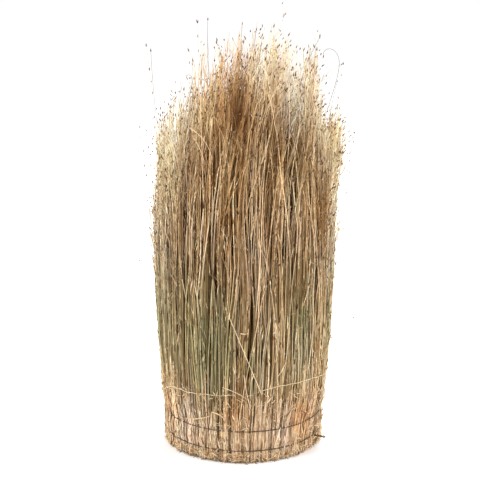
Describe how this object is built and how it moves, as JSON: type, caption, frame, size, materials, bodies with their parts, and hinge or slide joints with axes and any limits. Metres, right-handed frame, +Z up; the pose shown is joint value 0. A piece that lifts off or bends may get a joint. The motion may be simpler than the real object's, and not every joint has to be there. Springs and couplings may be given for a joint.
{
  "type": "bunch of reeds",
  "caption": "Thick bunch of dry reeds standing on their cut ends, pleated into handfuls by two thin binding wires near the foot, with a ragged feathery top.",
  "frame": {"origin": "middle of the cut ends, on the ground that the bunch stands on", "axes": "+Z up along the reeds, +X to the right seen from the front, +Y away from the viewer"},
  "size_m": [0.344, 0.3449, 0.715],
  "materials": {
    "reed_straw": "dry, matt straw",
    "reed_green": "dry, matt, still greenish",
    "reed_ochre": "dry, matt brown",
    "binding_wire": "dark, lightly rusted",
    "dry_grass": "pale and dry"
  },
  "bodies": {
    "root": {"outer_reeds_01": "reed_straw", "outer_reeds_02": "reed_straw", "outer_reeds_03": "reed_straw", "outer_reeds_04": "reed_straw", "outer_reeds_05": "reed_ochre", "outer_reeds_06": "reed_green", "outer_reeds_07": "reed_ochre", "outer_reeds_08": "reed_ochre", "outer_reeds_09": "reed_ochre", "outer_reeds_10": "reed_green", "outer_reeds_11": "reed_ochre", "outer_reeds_12": "reed_ochre", "outer_reeds_13": "reed_straw", "outer_reeds_14": "reed_straw", "outer_reeds_15": "reed_straw", "outer_reeds_16": "reed_ochre", "outer_reeds_17": "reed_ochre", "outer_reeds_18": "reed_straw", "outer_reeds_19": "reed_straw", "outer_reeds_20": "reed_ochre", "outer_reeds_21": "reed_green", "outer_reeds_22": "reed_green", "outer_reeds_23": "reed_green", "outer_reeds_24": "reed_ochre", "outer_reeds_25": "reed_ochre", "outer_reeds_26": "reed_straw", "outer_reeds_27": "reed_ochre", "outer_reeds_28": "reed_ochre", "outer_reeds_29": "reed_straw", "outer_reeds_30": "reed_straw", "outer_reeds_31": "reed_ochre", "outer_reeds_32": "reed_ochre", "outer_reeds_33": "reed_green", "outer_reeds_34": "reed_green", "outer_reeds_35": "reed_green", "outer_reeds_36": "reed_green", "outer_reeds_37": "reed_ochre", "outer_reeds_38": "reed_green", "outer_reeds_39": "reed_ochre", "outer_reeds_40": "reed_ochre", "inner_reeds_1": "reed_green", "inner_reeds_2": "reed_green", "inner_reeds_3": "reed_straw", "inner_reeds_4": "reed_ochre", "inner_reeds_5": "reed_straw", "inner_reeds_6": "reed_straw", "inner_reeds_7": "reed_green", "inner_reeds_8": "reed_straw", "middle_reeds": "reed_straw", "lower_wire": "binding_wire", "upper_wire": "binding_wire", "pale_grass_strand": "dry_grass", "loose_reed_1": "reed_ochre", "loose_reed_2": "reed_straw", "loose_reed_3": "reed_straw", "loose_reed_4": "reed_ochre", "loose_reed_5": "reed_straw", "loose_reed_6": "reed_straw", "loose_reed_7": "reed_ochre", "loose_reed_8": "reed_straw"}
  },
  "joints": []
}
